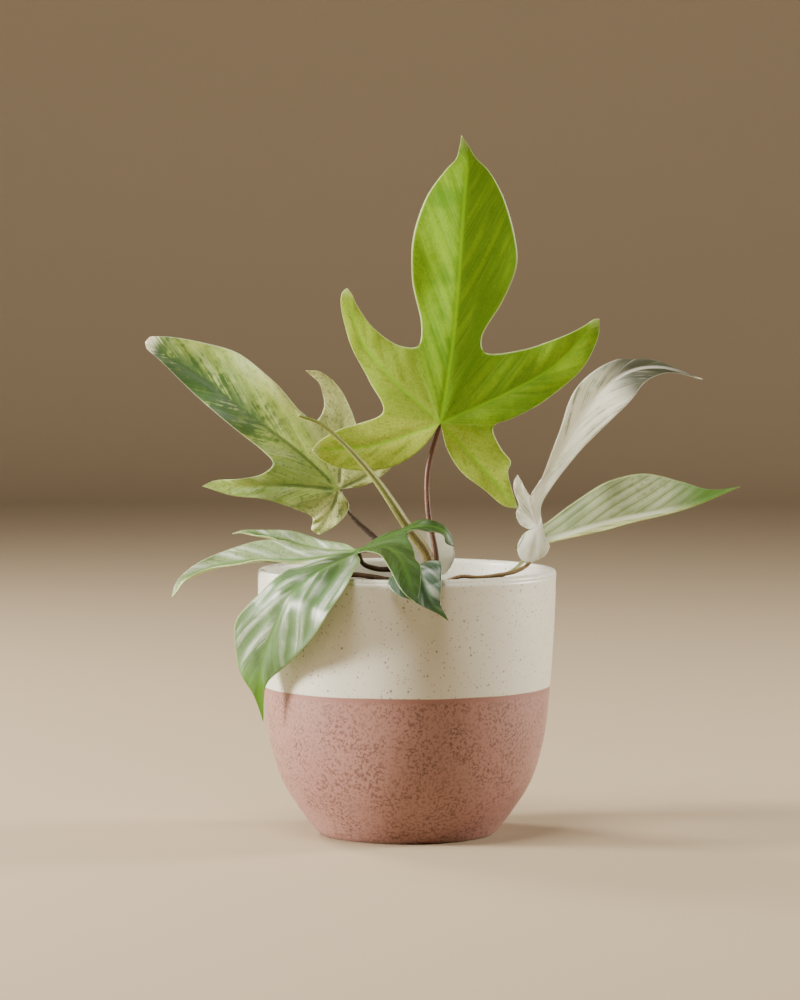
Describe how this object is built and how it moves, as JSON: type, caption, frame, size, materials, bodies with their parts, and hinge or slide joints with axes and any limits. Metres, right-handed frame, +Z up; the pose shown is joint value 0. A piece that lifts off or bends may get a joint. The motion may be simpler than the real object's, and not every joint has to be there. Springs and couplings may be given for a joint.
{
  "type": "potted variegated philodendron",
  "caption": "Young climbing philodendron with lobed, white and green mottled leaves on thin stalks, planted in a round two-tone stoneware tub with a flat foot.",
  "frame": {"origin": "centre of the flat foot on which the tub stands", "axes": "+Z up along the tub's axis, -Y towards the front, +X to the right seen from the front"},
  "size_m": [0.2606, 0.1535, 0.3046],
  "materials": {
    "stoneware": "satin speckled glaze, cream above and rose below",
    "compost": "moist potting compost",
    "stem": "green to brown plant stem",
    "rolled_leaf": "pale olive green, reddish at the foot",
    "root": "dull brown bark",
    "lime_blade": "lime green satin leaf",
    "mottled_blade": "pale green satin leaf with dark streaks",
    "white_blade": "white satin leaf with faint green veins",
    "silver_blade": "silvery green satin leaf with pale veins",
    "dark_blade": "dark blue-green satin leaf",
    "red_stalk": "reddish brown stalk",
    "brown_stalk": "dark brown stalk",
    "green_stalk": "pale green stalk"
  },
  "bodies": {
    "root": {"tub": "stoneware", "compost": "compost", "stem": "stem", "rolled_leaf": "rolled_leaf", "air_root": "root", "top_leaf_blade": "lime_blade", "top_leaf_stalk": "red_stalk", "left_leaf_blade": "mottled_blade", "left_leaf_stalk": "brown_stalk", "right_leaf_blade": "white_blade", "right_leaf_stalk": "red_stalk", "low_right_leaf_blade": "silver_blade", "low_right_leaf_stalk": "green_stalk", "front_leaf_blade": "silver_blade", "front_leaf_stalk": "green_stalk", "rim_leaf_blade": "dark_blade", "rim_leaf_stalk": "brown_stalk", "white_leaf_blade": "white_blade", "white_leaf_stalk": "green_stalk"}
  },
  "joints": []
}
